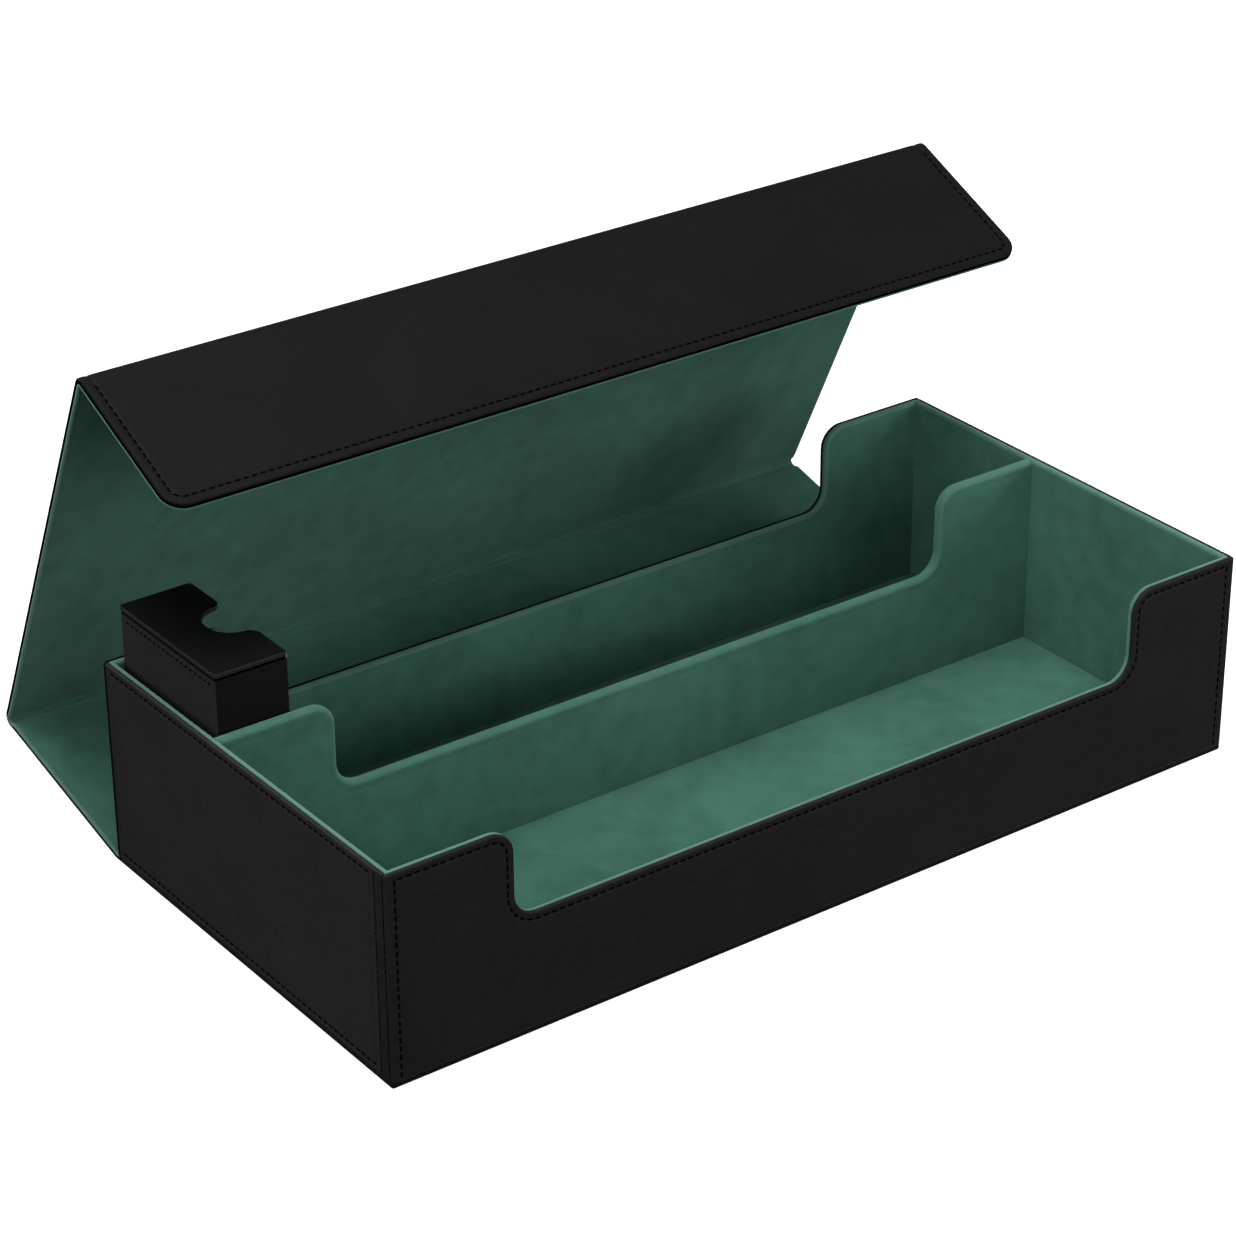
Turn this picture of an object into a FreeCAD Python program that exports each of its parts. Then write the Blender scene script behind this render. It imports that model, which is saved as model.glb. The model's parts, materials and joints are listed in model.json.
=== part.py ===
import FreeCAD, Part
import Sketcher
import math
import os
import re

# Two-row card deck box: a rigid board tray wrapped in black leather and lined in green,
# a four-panel cover that folds over it, and a loose card case in the rear row.
# Millimetres. +X runs along the box to the right, -Y is the front, +Z is up.
# The origin is the centre of the base's underside.
# The cover stands open: its back panel rises a little from the surface behind the box,
# its top panel leans forward and its flap points forward and down.

DRIVING_SIZES = {
    # outside of the tray, and what its walls are made of
    "box_length": 450.0,
    "box_depth": 217.0,
    "box_height": 98.0,
    "wall_leather": 0.9,
    "wall_board": 2.5,
    "wall_lining": 0.8,
    "rim_turn": 0.7,
    "lining_drop": 0.4,
    # base panel of the cover, and the tray's floor on top of it
    "base_leather": 0.8,
    "base_board": 1.5,
    "floor_board": 2.0,
    "floor_lining": 0.7,
    # lengthwise divider
    "rear_row": 78.6,
    "divider_board": 3.6,
    # the dip in the front wall, the divider and the back wall
    "dip_half": 164.7,
    "dip_floor": 56.3,
    "dip_round": 11.0,
    # cover panels
    "cover_leather": 0.9,
    "cover_board": 2.0,
    "cover_lining": 0.7,
    "cover_hem": 1.0,
    "back_gap": 0.3,
    "rim_gap": 0.4,
    "front_gap": 0.5,
    "flap_reach": 78.0,
    "flap_round": 10.0,
    "bead_radius": 1.4,
    "web_thickness": 0.8,
    "hinge_space": 2.5,
    "fold_space": 5.6,
    "fold_web": 5.2,
    "fold_thickness": 3.0,
    # how the open cover stands, in degrees
    "back_rise": 14.7,
    "top_lean": 25.4,
    "flap_drop": 24.5,
    # disc magnets hidden in the front wall and the flap
    "magnet_radius": 4.9,
    "pocket_radius": 5.0,
    "magnet_depth": 1.5,
    "magnet_inner": 65.0,
    "magnet_outer": 190.0,
    "magnet_level": 38.0,
    # card case in the rear row, lifted out of its place a little
    "case_width": 34.5,
    "case_depth": 77.0,
    "case_height": 92.5,
    "case_side": 7.6,
    "case_lift": 27.0,
    "case_leather": 0.6,
    "case_board": 1.2,
    "case_lining": 0.4,
    "notch_half": 12.9,
    "notch_depth": 15.3,
    "notch_mouth": 5.0,
}

doc = FreeCAD.newDocument("card_deck_box")
dims = doc.addObject("Spreadsheet::Sheet", "dims")
for row, (alias, size) in enumerate(DRIVING_SIZES.items(), start=1):
    dims.set(f"A{row}", alias)
    dims.set(f"B{row}", str(size))
    dims.setAlias(f"B{row}", alias)
doc.recompute()

pieces = []


# ---- helpers ---------------------------------------------------------------------------

def cell(formula):
    """Put the sheet's name before every alias in a formula."""
    def prefix(word):
        return f"dims.{word.group()}" if word.group() in DRIVING_SIZES else word.group()
    return re.sub(r"[a-z_]+", prefix, formula)


def value(formula):
    """Number that a formula has now."""
    return float(dims.evalExpression(cell(formula)))


def ordered(first, second):
    """Two formulas with the smaller one first."""
    return (first, second) if value(first) < value(second) else (second, first)


def bind(item, formulas):
    """Tie an object's properties to formulas of the sheet's cells."""
    for prop, formula in formulas.items():
        item.setExpression(prop, cell(formula))


def keep(item, label):
    """Name a finished piece and put it on the list of pieces."""
    item.Label = label
    pieces.append(item)
    return item


def block(name, x, y, z):
    """Rectangular board between two formulas along each axis."""
    item = doc.addObject("Part::Box", name)
    spans = (("Length", "x", x), ("Width", "y", y), ("Height", "z", z))
    for side, axis, (low, high) in spans:
        bind(item, {side: f"({high}) - ({low})", f"Placement.Base.{axis}": low})
    return item


def sketch_on(body, plane, start):
    """Empty sketch on one of the body's origin planes, moved along the plane's normal."""
    sketch = body.newObject("Sketcher::SketchObject", "sketch")
    base = next(item for item in body.Origin.OriginFeatures if item.Role == plane)
    sketch.AttachmentSupport = [(base, "")]
    sketch.MapMode = "FlatFace"
    bind(sketch, {"AttachmentOffset.Base.z": start})
    return sketch


def set_point(sketch, geometry, point, formulas):
    """Fix a sketch point's two coordinates to formulas."""
    for kind, formula in zip(("DistanceX", "DistanceY"), formulas):
        number = sketch.addConstraint(Sketcher.Constraint(kind, geometry, point, value(formula)))
        bind(sketch, {f"Constraints[{number}]": formula})


def plate(name, plane, start, thickness, corners, rounds=()):
    """Body padded from a closed outline, with some of its corners rounded.

    start moves the outline along the plane's normal, each corner is a pair of formulas,
    and rounds pairs a radius formula with the numbers of the corners that it rounds.
    """
    body = doc.addObject("PartDesign::Body", name)
    sketch = sketch_on(body, plane, start)
    points = [FreeCAD.Vector(value(across), value(up), 0) for across, up in corners]
    turned = points[1:] + points[:1]
    for point, following in zip(points, turned):
        sketch.addGeometry(Part.LineSegment(point, following), False)
    for index in range(len(points)):
        following = (index + 1) % len(points)
        sketch.addConstraint(Sketcher.Constraint("Coincident", index, 2, following, 1))
    for index, formulas in enumerate(corners):
        set_point(sketch, index, 1, formulas)
    pad = body.newObject("PartDesign::Pad", "pad")
    pad.Profile = sketch
    bind(pad, {"Length": thickness})
    doc.recompute()
    feature = pad
    for radius, numbers in rounds:
        chosen = corner_edges(feature, sketch, [points[number] for number in numbers])
        fillet = body.newObject("PartDesign::Fillet", "rounding")
        fillet.Base = (feature, chosen)
        bind(fillet, {"Radius": radius})
        doc.recompute()
        feature = fillet
    return body


def corner_edges(feature, sketch, points):
    """Names of the feature's edges that stand square on the sketch's points."""
    to_sketch = sketch.Placement.inverse()
    names = []
    for index, edge in enumerate(feature.Shape.Edges, start=1):
        ends = [to_sketch.multVec(vertex.Point) for vertex in edge.Vertexes]
        for point in points:
            if all(math.hypot(end.x - point.x, end.y - point.y) < 1e-4 for end in ends):
                names.append(f"Edge{index}")
    return names


def drill(body, plane, start, radius, depth, centres):
    """Blind round pockets, cut against the plane's normal."""
    before = body.Shape.Volume
    sketch = sketch_on(body, plane, start)
    for index, centre in enumerate(centres):
        middle = FreeCAD.Vector(value(centre[0]), value(centre[1]), 0)
        sketch.addGeometry(Part.Circle(middle, FreeCAD.Vector(0, 0, 1), value(radius)), False)
        number = sketch.addConstraint(Sketcher.Constraint("Radius", index, value(radius)))
        bind(sketch, {f"Constraints[{number}]": radius})
        set_point(sketch, index, 3, centre)
    pocket = body.newObject("PartDesign::Pocket", "pockets")
    pocket.Profile = sketch
    bind(pocket, {"Length": depth})
    doc.recompute()
    removed = len(centres) * math.pi * value(radius) ** 2 * value(depth)
    if abs(before - body.Shape.Volume - removed) > 0.01 * removed:
        raise RuntimeError(f"the pockets in {body.Name} don't cut their full depth")


def subtract(name, outer, inner):
    """What is left of one shape once another is taken out of it."""
    item = doc.addObject("Part::Cut", name)
    item.Base = outer
    item.Tool = inner
    return item


def group(name, members):
    """Identical separate solids kept as one piece."""
    item = doc.addObject("Part::Compound", name)
    item.Links = members
    return item


# ---- levels and faces shared by several pieces -----------------------------------------

HALF_LENGTH = "box_length / 2"
HALF_DEPTH = "box_depth / 2"
TRAY_BOTTOM = "base_leather + base_board"
FLOOR_BOARD_TOP = f"{TRAY_BOTTOM} + floor_board"
FLOOR_TOP = f"{FLOOR_BOARD_TOP} + floor_lining"
SHELL = "wall_leather + wall_board"
WALL = f"{SHELL} + wall_lining"
INNER_LENGTH = f"{HALF_LENGTH} - ({WALL})"
INNER_DEPTH = f"{HALF_DEPTH} - ({WALL})"
SHELL_LENGTH = f"{HALF_LENGTH} - ({SHELL})"
SHELL_DEPTH = f"{HALF_DEPTH} - ({SHELL})"
LINING_TOP = "box_height - lining_drop"


def mirrored(formula):
    """The same distance on the low side of the middle."""
    return f"-({formula})"


def dipped_outline(half, bottom, top, inset):
    """Wall outline with the wide dip in its top edge, and how its corners are rounded.

    inset widens and deepens the dip and lowers nothing else.
    """
    side = f"dip_half + {inset}"
    floor = f"dip_floor - {inset}"
    corners = [
        (mirrored(half), bottom),
        (half, bottom),
        (half, top),
        (side, top),
        (side, floor),
        (mirrored(side), floor),
        (mirrored(side), top),
        (mirrored(half), top),
    ]
    rounds = [(f"dip_round + {inset}", (4, 5)), (f"dip_round - {inset}", (3, 6))]
    return corners, rounds


def dipped_wall(name, start, thickness, half, bottom, top, inset):
    """Upright wall across the box with the dip in it, start being minus its rear face's y."""
    corners, rounds = dipped_outline(half, bottom, top, inset)
    return plate(name, "XZ_Plane", start, thickness, corners, rounds)


# ---- base and floor --------------------------------------------------------------------

base_board = keep(block(
    "base_board",
    (f"-({HALF_LENGTH}) + base_leather", f"{HALF_LENGTH} - base_leather"),
    (f"-({HALF_DEPTH}) + base_leather", f"{HALF_DEPTH} - base_leather"),
    ("base_leather", TRAY_BOTTOM)), "cover_base_board")
base_shell = block(
    "base_shell",
    (mirrored(HALF_LENGTH), HALF_LENGTH),
    (mirrored(HALF_DEPTH), HALF_DEPTH),
    ("0", TRAY_BOTTOM))
keep(subtract("base_leather_skin", base_shell, base_board), "cover_base_leather")

keep(block(
    "tray_floor",
    (mirrored(SHELL_LENGTH), SHELL_LENGTH),
    (mirrored(SHELL_DEPTH), SHELL_DEPTH),
    (TRAY_BOTTOM, FLOOR_BOARD_TOP)), "floor_board")

DIVIDER_REAR = f"{INNER_DEPTH} - rear_row"
DIVIDER_FRONT = f"{DIVIDER_REAR} - divider_board - 2 * wall_lining"
for label, span in (
        ("front_row_floor_lining", (mirrored(INNER_DEPTH), DIVIDER_FRONT)),
        ("rear_row_floor_lining", (DIVIDER_REAR, INNER_DEPTH))):
    keep(block(label + "_sheet", (mirrored(INNER_LENGTH), INNER_LENGTH), span,
               (FLOOR_BOARD_TOP, FLOOR_TOP)), label)


# ---- front and back walls --------------------------------------------------------------

BOARD_LENGTH = f"{HALF_LENGTH} - wall_leather"
BOARD_TOP = "box_height - rim_turn"
MAGNET_SPOTS = [(f"{sign} * {column}", "magnet_level")
                for column in ("magnet_inner", "magnet_outer") for sign in (-1, 1)]

for side, board_start, shell_start, lining_start in (
        ("front", SHELL_DEPTH, SHELL_DEPTH, INNER_DEPTH),
        ("back", f"wall_leather - {HALF_DEPTH}", mirrored(HALF_DEPTH),
         f"-({HALF_DEPTH}) + {SHELL}")):
    board = dipped_wall(f"{side}_board", board_start, "wall_board",
                        BOARD_LENGTH, TRAY_BOTTOM, BOARD_TOP, "rim_turn")
    shell = dipped_wall(f"{side}_shell", shell_start, SHELL,
                        HALF_LENGTH, TRAY_BOTTOM, "box_height", "0")
    lining = dipped_wall(f"{side}_lining", lining_start, "wall_lining",
                         SHELL_LENGTH, FLOOR_BOARD_TOP, LINING_TOP, "lining_drop")
    if side == "front":
        drill(board, "XZ_Plane", f"{HALF_DEPTH} - wall_leather", "pocket_radius",
              "magnet_depth", MAGNET_SPOTS)
        solid_board = dipped_wall("front_board_blank", board_start, "wall_board",
                                  BOARD_LENGTH, TRAY_BOTTOM, BOARD_TOP, "rim_turn")
        skin = subtract("front_skin", shell, solid_board)
    else:
        skin = subtract("back_skin", shell, board)
    keep(board, f"{side}_wall_board")
    keep(skin, f"{side}_wall_leather")
    keep(lining, f"{side}_wall_lining")

front_magnets = []
for across, up in MAGNET_SPOTS:
    magnet = doc.addObject("Part::Cylinder", "front_magnet")
    bind(magnet, {"Radius": "magnet_radius", "Height": "magnet_depth"})
    front = value(f"wall_leather - {HALF_DEPTH}")
    turn = FreeCAD.Rotation(FreeCAD.Vector(1, 0, 0), -90)
    magnet.Placement = FreeCAD.Placement(FreeCAD.Vector(value(across), front, value(up)), turn)
    front_magnets.append(magnet)
keep(group("front_magnet_group", front_magnets), "front_wall_magnets")


# ---- end walls -------------------------------------------------------------------------

for side, outer, board_face, shell_face, inner in (
        ("left", mirrored(HALF_LENGTH), mirrored(BOARD_LENGTH), mirrored(SHELL_LENGTH),
         mirrored(INNER_LENGTH)),
        ("right", HALF_LENGTH, BOARD_LENGTH, SHELL_LENGTH, INNER_LENGTH)):
    end_depth = (mirrored(SHELL_DEPTH), SHELL_DEPTH)
    board = keep(block(f"{side}_board", ordered(board_face, shell_face), end_depth,
                       (TRAY_BOTTOM, BOARD_TOP)), f"{side}_end_board")
    shell = block(f"{side}_shell", ordered(outer, shell_face), end_depth,
                  (TRAY_BOTTOM, "box_height"))
    keep(subtract(f"{side}_skin", shell, board), f"{side}_end_leather")
    keep(block(f"{side}_lining", ordered(shell_face, inner),
               (mirrored(INNER_DEPTH), INNER_DEPTH),
               (FLOOR_BOARD_TOP, LINING_TOP)), f"{side}_end_lining")


# ---- divider ---------------------------------------------------------------------------

divider_board = keep(dipped_wall(
    "divider_core", f"-({DIVIDER_REAR}) + wall_lining", "divider_board", INNER_LENGTH,
    FLOOR_BOARD_TOP, f"{LINING_TOP} - wall_lining", "wall_lining"), "divider_board")
divider_shell = dipped_wall(
    "divider_shell", mirrored(DIVIDER_REAR), "divider_board + 2 * wall_lining",
    INNER_LENGTH, FLOOR_BOARD_TOP, LINING_TOP, "0")
keep(subtract("divider_wrap", divider_shell, divider_board), "divider_lining")


# ---- cover: hinge lines ----------------------------------------------------------------

PANEL = "cover_leather + cover_board + cover_lining"
HALF_PANEL = f"({PANEL}) / 2"
BACK_REACH = "box_height + rim_gap"
TOP_REACH = f"box_depth + back_gap + front_gap + {PANEL}"


def direction(turn):
    """Unit vector in the YZ plane, turned from +Y about +X by some degrees."""
    angle = math.radians(turn)
    return FreeCAD.Vector(0, math.cos(angle), math.sin(angle))


back_turn = value("back_rise")
top_turn = 90 + value("top_lean")
flap_turn = 180 + value("flap_drop")
hinge_y = value(f"{HALF_DEPTH} + back_gap + {HALF_PANEL}")
base_hinge = FreeCAD.Vector(0, hinge_y, value(HALF_PANEL))
top_fold = base_hinge + direction(back_turn) * value(BACK_REACH)
flap_fold = top_fold + direction(top_turn) * value(TOP_REACH)


def stand(item, hinge, turn):
    """Place a piece made in a panel's own frame: x along the hinge, y away from it."""
    item.Placement = FreeCAD.Placement(hinge, FreeCAD.Rotation(FreeCAD.Vector(1, 0, 0), turn))
    return item


def panel(name, near, far, hinge, turn, free_round=None):
    """Leather, board and lining of one cover panel, between two distances from its hinge."""
    def sheet_of(part, start, thickness, inset):
        side = f"{HALF_LENGTH} - {inset}"
        low = f"{near} + {inset}"
        high = f"{far} - {inset}"
        corners = [(mirrored(side), low), (side, low), (side, high), (mirrored(side), high)]
        rounds = [(f"{free_round} - {inset}", (2, 3))] if free_round else []
        body = plate(f"{name}_{part}", "XY_Plane", start, thickness, corners, rounds)
        return stand(body, hinge, turn)

    outer_face = f"-({HALF_PANEL})"
    blank = sheet_of("blank", f"{outer_face} + cover_leather", "cover_board", "cover_leather")
    shell = sheet_of("shell", outer_face, "cover_leather + cover_board", "0")
    board = sheet_of("board", f"{outer_face} + cover_leather", "cover_board", "cover_leather")
    lining = sheet_of("lining", f"{outer_face} + cover_leather + cover_board", "cover_lining",
                      "cover_hem")
    skin = subtract(f"{name}_skin", shell, blank)
    keep(skin, f"{name}_leather")
    keep(board, f"{name}_board")
    keep(lining, f"{name}_lining")
    return board


def fold_bead(name, hinge):
    """Round bead of leather along a fold line."""
    bead = doc.addObject("Part::Cylinder", name)
    bind(bead, {"Radius": "bead_radius", "Height": "box_length"})
    turn = FreeCAD.Rotation(FreeCAD.Vector(0, 1, 0), 90)
    low_end = hinge - FreeCAD.Vector(value(HALF_LENGTH), 0, 0)
    bead.Placement = FreeCAD.Placement(low_end, turn)
    return bead


def hinge_strip(name, hinge, turn, reach, thickness, label):
    """Fold bead with a web on one side of it, towards the panel that it is sewn to."""
    low, high = reach
    web = plate(f"{name}_web", "XY_Plane", f"-({thickness}) / 2", thickness,
                [(mirrored(HALF_LENGTH), low), (HALF_LENGTH, low),
                 (HALF_LENGTH, high), (mirrored(HALF_LENGTH), high)])
    strip = doc.addObject("Part::Fuse", name)
    strip.Base = fold_bead(f"{name}_bead", hinge)
    strip.Tool = stand(web, hinge, turn)
    return keep(strip, label)


hinge_strip("base_strip", base_hinge, 0, (f"-(back_gap + {HALF_PANEL})", "0"),
            "web_thickness", "base_hinge_strip")
panel("cover_back", "hinge_space", f"{BACK_REACH} - fold_space", base_hinge, back_turn)
hinge_strip("top_strip", top_fold, top_turn, ("0", "fold_web"), "fold_thickness",
            "top_fold_strip")
panel("cover_top", "fold_space", f"{TOP_REACH} - hinge_space", top_fold, top_turn)
hinge_strip("flap_strip", flap_fold, top_turn, ("-hinge_space", "0"), "web_thickness",
            "flap_fold_strip")
flap_board = panel("cover_flap", "hinge_space", "flap_reach", flap_fold, flap_turn,
                   "flap_round")

# the flap's magnets meet the front wall's when the flap hangs closed
CLOSED_FOLD_LEVEL = f"{HALF_PANEL} + {BACK_REACH}"
FLAP_SPOTS = [(across, f"{CLOSED_FOLD_LEVEL} - {up}") for across, up in MAGNET_SPOTS]
drill(flap_board, "XY_Plane", f"{HALF_PANEL} - cover_lining", "pocket_radius",
      "magnet_depth", FLAP_SPOTS)
flap_magnets = []
flap_frame = FreeCAD.Placement(flap_fold, FreeCAD.Rotation(FreeCAD.Vector(1, 0, 0), flap_turn))
for across, along in FLAP_SPOTS:
    magnet = doc.addObject("Part::Cylinder", "flap_magnet")
    bind(magnet, {"Radius": "magnet_radius", "Height": "magnet_depth"})
    low = value(f"{HALF_PANEL} - cover_lining - magnet_depth")
    spot = FreeCAD.Vector(value(across), value(along), low)
    magnet.Placement = flap_frame.multiply(FreeCAD.Placement(spot, FreeCAD.Rotation()))
    flap_magnets.append(magnet)
keep(group("flap_magnet_group", flap_magnets), "flap_magnets")


# ---- card case -------------------------------------------------------------------------
# Its +X side is open, and its top has a thumb notch in the open edge.

CASE_LOW_X = f"-({HALF_LENGTH}) + case_side"
CASE_HIGH_X = f"{CASE_LOW_X} + case_width"
CASE_MIDDLE_Y = f"{INNER_DEPTH} - rear_row / 2"
CASE_LOW_Y = f"{CASE_MIDDLE_Y} - case_depth / 2"
CASE_HIGH_Y = f"{CASE_MIDDLE_Y} + case_depth / 2"
CASE_LOW_Z = f"{FLOOR_TOP} + case_lift"
CASE_HIGH_Z = f"{CASE_LOW_Z} + case_height"
CASE_SHELL = "case_leather + case_board"
CASE_WALL = f"{CASE_SHELL} + case_lining"


def case_box(name, inset, levels=None):
    """Whole outside of the case, or what lies some distance inside its five walls."""
    low_z, high_z = levels or (f"{CASE_LOW_Z} + {inset}", f"{CASE_HIGH_Z} - ({inset})")
    return block(name, (f"{CASE_LOW_X} + {inset}", CASE_HIGH_X),
                 (f"{CASE_LOW_Y} + {inset}", f"{CASE_HIGH_Y} - ({inset})"), (low_z, high_z))


def notched_plate(name, start, thickness, inset, rise):
    """Level plate as wide as the case, with the thumb notch in its +X edge."""
    low_y = f"{CASE_LOW_Y} + {inset}"
    high_y = f"{CASE_HIGH_Y} - ({inset})"
    notch_x = f"{CASE_HIGH_X} - notch_depth - {rise}"
    notch_low = f"{CASE_MIDDLE_Y} - notch_half - {rise}"
    notch_high = f"{CASE_MIDDLE_Y} + notch_half + {rise}"
    edge_x = f"{CASE_HIGH_X} - {rise}"
    corners = [
        (f"{CASE_LOW_X} + {inset}", low_y),
        (edge_x, low_y),
        (edge_x, notch_low),
        (notch_x, notch_low),
        (notch_x, notch_high),
        (edge_x, notch_high),
        (edge_x, high_y),
        (f"{CASE_LOW_X} + {inset}", high_y),
    ]
    rounds = [(f"notch_half + {rise} - 0.1", (3, 4)), (f"notch_mouth - {rise}", (2, 5))]
    return plate(name, "XY_Plane", start, thickness, corners, rounds)


top_shell = notched_plate("case_top_shell", f"{CASE_HIGH_Z} - ({CASE_SHELL})", CASE_SHELL,
                          "0", "0")
top_core = notched_plate("case_top_core", f"{CASE_HIGH_Z} - ({CASE_SHELL})", "case_board",
                         "case_leather", "case_leather")
keep(subtract("case_top_skin", top_shell, top_core), "case_top_leather")
keep(top_core, "case_top_board")
keep(notched_plate("case_top_felt", f"{CASE_HIGH_Z} - ({CASE_WALL})", "case_lining",
                   CASE_SHELL, "case_leather"), "case_top_lining")

BELOW_TOP = (CASE_LOW_Z, f"{CASE_HIGH_Z} - ({CASE_SHELL})")
wrap_outer = case_box("case_outer", "0", BELOW_TOP)
wrap_inner = case_box("case_wrap_hollow", "case_leather",
                      (f"{CASE_LOW_Z} + case_leather", BELOW_TOP[1]))
keep(subtract("case_wrap", wrap_outer, wrap_inner), "case_wrap_leather")

board_x = (f"{CASE_LOW_X} + case_leather", f"{CASE_LOW_X} + {CASE_SHELL}")
inner_x = (f"{CASE_LOW_X} + {CASE_SHELL}", CASE_HIGH_X)
board_z = (f"{CASE_LOW_Z} + {CASE_SHELL}", BELOW_TOP[1])
full_y = (f"{CASE_LOW_Y} + case_leather", f"{CASE_HIGH_Y} - case_leather")
keep(block("case_broad", board_x, full_y, board_z), "case_side_board")
keep(block("case_near", inner_x, (full_y[0], f"{CASE_LOW_Y} + {CASE_SHELL}"), board_z),
     "case_front_board")
keep(block("case_far", inner_x, (f"{CASE_HIGH_Y} - ({CASE_SHELL})", full_y[1]), board_z),
     "case_back_board")
keep(block("case_under", (board_x[0], CASE_HIGH_X), full_y,
           (f"{CASE_LOW_Z} + case_leather", f"{CASE_LOW_Z} + {CASE_SHELL}")),
     "case_bottom_board")

LINED_TOP = f"{CASE_HIGH_Z} - ({CASE_WALL})"
lining_outer = case_box("case_lining_outer", CASE_SHELL,
                        (f"{CASE_LOW_Z} + {CASE_SHELL}", LINED_TOP))
lining_inner = case_box("case_lining_hollow", CASE_WALL,
                        (f"{CASE_LOW_Z} + {CASE_WALL}", LINED_TOP))
keep(subtract("case_felt", lining_outer, lining_inner), "case_lining")


# ---- check and write -------------------------------------------------------------------

doc.recompute()
for item in doc.Objects:
    if {"Invalid", "Error"} & set(item.State):
        raise RuntimeError(f"{item.Name} failed: {item.State}")
for piece in pieces:
    if piece.Shape.isNull() or not piece.Shape.isValid() or not piece.Shape.Solids:
        raise RuntimeError(f"{piece.Label} has no valid solid")

os.makedirs("parts", exist_ok=True)
for piece in pieces:
    piece.Shape.exportStep(f"parts/{piece.Label}.step")
    print(f"{piece.Label}: {len(piece.Shape.Solids)} solid(s), {piece.Shape.Volume:.0f} mm3")

for label, hinge in (("base hinge", base_hinge), ("top fold", top_fold),
                     ("flap fold", flap_fold)):
    print(f"{label}: y {hinge.y:.4f}, z {hinge.z:.4f}")
print(f"{len(pieces)} pieces")
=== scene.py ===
"""Looks of the card deck box: leather shell, microfibre linings, folding cover and card case.

Lengths in this script are millimetres until a mesh is made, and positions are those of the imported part.
"""

import json
import math

import bmesh
import bpy
from mathutils import Matrix, Vector

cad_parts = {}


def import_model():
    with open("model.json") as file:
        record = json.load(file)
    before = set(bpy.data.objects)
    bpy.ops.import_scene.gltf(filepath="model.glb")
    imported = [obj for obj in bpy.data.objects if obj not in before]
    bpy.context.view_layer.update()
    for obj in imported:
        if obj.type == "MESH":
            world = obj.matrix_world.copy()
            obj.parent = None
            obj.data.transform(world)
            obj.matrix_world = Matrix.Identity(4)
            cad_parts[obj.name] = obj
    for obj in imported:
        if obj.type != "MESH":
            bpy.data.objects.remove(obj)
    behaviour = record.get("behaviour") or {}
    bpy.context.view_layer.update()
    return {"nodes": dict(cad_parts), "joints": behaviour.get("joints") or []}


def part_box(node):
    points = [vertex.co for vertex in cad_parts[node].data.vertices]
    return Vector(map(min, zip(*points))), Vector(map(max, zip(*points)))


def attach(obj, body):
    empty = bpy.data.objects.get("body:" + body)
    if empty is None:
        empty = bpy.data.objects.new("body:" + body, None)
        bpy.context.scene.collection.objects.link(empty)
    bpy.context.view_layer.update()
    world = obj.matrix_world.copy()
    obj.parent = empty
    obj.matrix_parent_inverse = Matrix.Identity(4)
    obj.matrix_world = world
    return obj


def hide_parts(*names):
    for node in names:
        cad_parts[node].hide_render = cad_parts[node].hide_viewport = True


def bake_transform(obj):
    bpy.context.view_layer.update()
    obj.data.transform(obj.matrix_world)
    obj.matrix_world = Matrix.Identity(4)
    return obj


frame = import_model()

X = Vector((1, 0, 0))
Y = Vector((0, 1, 0))
Z = Vector((0, 0, 1))
MM = 0.001
LEATHER = "black_leather"
FABRIC = "green_microfibre"


def low_high(node):
    """The lowest and highest corner of a CAD node, in millimetres."""
    low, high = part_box(node)
    return low / MM, high / MM


# ---------------------------------------------------------------- materials

# Noise, wave and grain scales are per metre, and bump distances are in metres.


def material(name, colour, roughness, specular):
    """A principled material, with its node tree, its shader and its object coordinates."""
    made = bpy.data.materials.new(name)
    made.use_nodes = True
    tree = made.node_tree
    shader = tree.nodes["Principled BSDF"]
    shader.inputs["Base Color"].default_value = (*colour, 1)
    shader.inputs["Roughness"].default_value = roughness
    shader.inputs["Specular IOR Level"].default_value = specular
    spot = node(tree, "ShaderNodeTexCoord").outputs["Object"]
    return made, tree, shader, spot


def node(tree, kind, links=(), **values):
    """A node with its inputs set by name, and links from (output, input name) pairs."""
    made = tree.nodes.new(kind)
    for key, value in values.items():
        if hasattr(made, key):
            setattr(made, key, value)
        else:
            made.inputs[key.replace("_", " ")].default_value = value
    for output, name in links:
        tree.links.new(output, made.inputs[name])
    return made


def scaled_noise(tree, coordinates, scale, detail=3):
    """The value output of one noise texture."""
    made = node(tree, "ShaderNodeTexNoise", [(coordinates, "Vector")], Scale=scale, Detail=detail)
    return made.outputs["Fac"]


# The noise values at which a mottled colour is all of its first shade, and all of its second.
SHADE_ENDS = 0.36, 0.64


def mottled(tree, coordinates, colours, scales, detail=4):
    """Colour that drifts between two shades with noise at two scales."""
    wide, close = [scaled_noise(tree, coordinates, scale, detail) for scale in scales]
    both = node(tree, "ShaderNodeMath", [(wide, 0), (close, 1)], operation="ADD")
    mean = node(tree, "ShaderNodeMath", [(both.outputs[0], 0)], operation="MULTIPLY")
    mean.inputs[1].default_value = 0.5
    ramp = node(tree, "ShaderNodeValToRGB", [(mean.outputs[0], "Fac")])
    for step, position, colour in zip(ramp.color_ramp.elements, SHADE_ENDS, colours):
        step.position = position
        step.color = (*colour, 1)
    return ramp.outputs["Color"]


def bump(tree, height, distance, strength, under=None):
    """A bump from a height, on top of another bump where one is given."""
    links = [(height, "Height")]
    if under is not None:
        links.append((under, "Normal"))
    made = node(tree, "ShaderNodeBump", links, Distance=distance, Strength=strength)
    return made.outputs["Normal"]


def vary_roughness(tree, shader, noise, low, high):
    """Roughness that drifts between two values with a noise."""
    rough = node(tree, "ShaderNodeMapRange", [(noise, "Value")], To_Min=low, To_Max=high)
    tree.links.new(rough.outputs["Result"], shader.inputs["Roughness"])


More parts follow.
